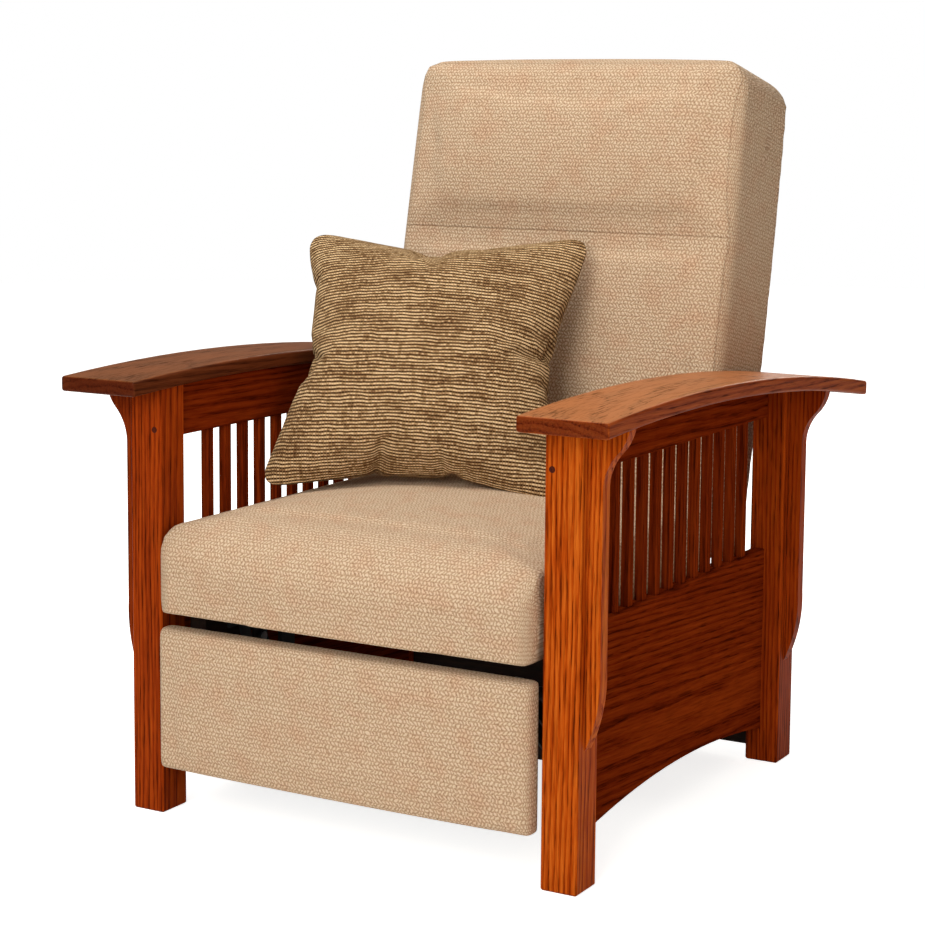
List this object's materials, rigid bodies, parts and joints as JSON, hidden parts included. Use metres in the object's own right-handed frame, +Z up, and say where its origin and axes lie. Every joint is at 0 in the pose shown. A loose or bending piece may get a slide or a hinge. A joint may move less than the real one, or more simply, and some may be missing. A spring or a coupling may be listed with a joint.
{
  "type": "recliner",
  "caption": "Push-back recliner with a bowed-arm slatted oak frame, a high upholstered back, a thick seat cushion, a throw pillow and a link-driven footrest.",
  "frame": {"origin": "on the floor, under the middle of the closed chair as seen from above", "axes": "+X to the sitter's left, -Y to the front, +Z up"},
  "size_m": [0.823, 0.888, 1.0474],
  "materials": {
    "oak": "stained red oak, satin lacquer",
    "hidden_wood": "plain sawn hardwood, unfinished",
    "upholstery": "beige woven chenille",
    "pillow_fabric": "dark brown ribbed weave with beige flecks",
    "steel": "black paint",
    "rivet_steel": "zinc plated",
    "spring_steel": "bare spring wire",
    "webbing": "black elastic webbing and deck cloth"
  },
  "bodies": {
    "frame": {"arm_left": "oak", "arm_right": "oak", "front_corbel_left": "oak", "front_corbel_right": "oak", "front_leg_left": "oak", "front_leg_right": "oak", "rear_corbel_left": "oak", "rear_corbel_right": "oak", "rear_leg_left": "oak", "rear_leg_right": "oak", "side_panel_left": "oak", "side_panel_right": "oak", "slats_left": "oak", "slats_right": "oak", "upper_rail_left": "oak", "upper_rail_right": "oak", "front_cross_rail": "hidden_wood", "rear_cross_rail": "hidden_wood", "mechanism_cleat_left": "hidden_wood", "mechanism_cleat_right": "hidden_wood", "base_plate_left": "steel", "base_plate_right": "steel", "base_plate_screws": "rivet_steel", "base_pivot_pins": "rivet_steel"},
    "front_swing": {"front_swing_links": "steel"},
    "rear_swing": {"rear_swing_links": "steel"},
    "seat": {"seat_cushion": "upholstery", "seat_deck": "webbing", "seat_front_rail": "hidden_wood", "seat_pivot_pins": "rivet_steel", "seat_plate_left": "steel", "seat_plate_right": "steel", "seat_rear_rail": "hidden_wood", "seat_side_rail_left": "hidden_wood", "seat_side_rail_right": "hidden_wood", "seat_springs": "spring_steel"},
    "front_link": {"front_footrest_links": "steel", "footrest_cross_tube": "steel", "front_link_pins": "rivet_steel"},
    "rear_link": {"rear_footrest_links": "steel", "rear_link_pins": "rivet_steel"},
    "long_link": {"long_footrest_links": "steel"},
    "short_link": {"short_footrest_links": "steel"},
    "footrest": {"footrest_bracket_left": "steel", "footrest_bracket_right": "steel", "footrest_board": "hidden_wood", "footrest_pad": "upholstery", "footrest_pivot_pins": "rivet_steel"},
    "back": {"back_bands": "webbing", "back_bottom_rail": "hidden_wood", "back_bracket_left": "steel", "back_bracket_right": "steel", "back_cushion": "upholstery", "back_outer_board": "upholstery", "back_stile_left": "hidden_wood", "back_stile_right": "hidden_wood", "back_top_rail": "hidden_wood"},
    "pillow": {"throw_pillow": "pillow_fabric"}
  },
  "joints": [
    {"name": "seat_swing", "type": "hinge", "parent": "frame", "child": "front_swing", "pos_m": [0, -0.127, 0.262], "axis": [-1, 0, 0], "range_deg": [0, 30]},
    {"name": "seat_level", "type": "hinge", "parent": "front_swing", "child": "seat", "pos_m": [0, -0.127, 0.162], "axis": [-1, 0, 0], "range_deg": [-30, 0]},
    {"name": "rear_swing_turn", "type": "hinge", "parent": "frame", "child": "rear_swing", "pos_m": [0, 0.101, 0.262], "axis": [-1, 0, 0], "range_deg": [0, 30]},
    {"name": "back_recline", "type": "hinge", "parent": "seat", "child": "back", "pos_m": [0, 0.181, 0.3], "axis": [-1, 0, 0], "range_deg": [0, 28]},
    {"name": "pillow_lean", "type": "hinge", "parent": "seat", "child": "pillow", "pos_m": [0.0445, -0.0729, 0.393], "axis": [-0.8466, -0.1265, -0.517], "range_deg": [0, 32.25]},
    {"name": "footrest_open", "type": "hinge", "parent": "seat", "child": "front_link", "pos_m": [0, -0.249, 0.262], "axis": [-1, 0, 0], "range_deg": [0, 90]},
    {"name": "rear_link_turn", "type": "hinge", "parent": "seat", "child": "rear_link", "pos_m": [0, -0.19755, 0.21755], "axis": [-1, 0, 0], "range_deg": [0, 90]},
    {"name": "long_link_turn", "type": "hinge", "parent": "front_link", "child": "long_link", "pos_m": [0, -0.204, 0.123], "axis": [-1, 0, 0], "range_deg": [-90, 0]},
    {"name": "short_link_turn", "type": "hinge", "parent": "front_link", "child": "short_link", "pos_m": [0, -0.19014, 0.08019], "axis": [-1, 0, 0], "range_deg": [-90, 0]},
    {"name": "board_turn", "type": "hinge", "parent": "long_link", "child": "footrest", "pos_m": [0, -0.351, 0.25], "axis": [-1, 0, 0], "range_deg": [0, 90]}
  ],
  "couplings": [
    {"joint": "seat_level", "follows": "seat_swing", "ratio": -1},
    {"joint": "rear_swing_turn", "follows": "seat_swing", "ratio": 1},
    {"joint": "back_recline", "follows": "seat_swing", "ratio": 0.93333},
    {"joint": "pillow_lean", "follows": "seat_swing", "ratio": 1.0747},
    {"joint": "rear_link_turn", "follows": "footrest_open", "ratio": 1},
    {"joint": "long_link_turn", "follows": "footrest_open", "ratio": -1},
    {"joint": "short_link_turn", "follows": "footrest_open", "ratio": -1},
    {"joint": "board_turn", "follows": "footrest_open", "ratio": 1}
  ]
}
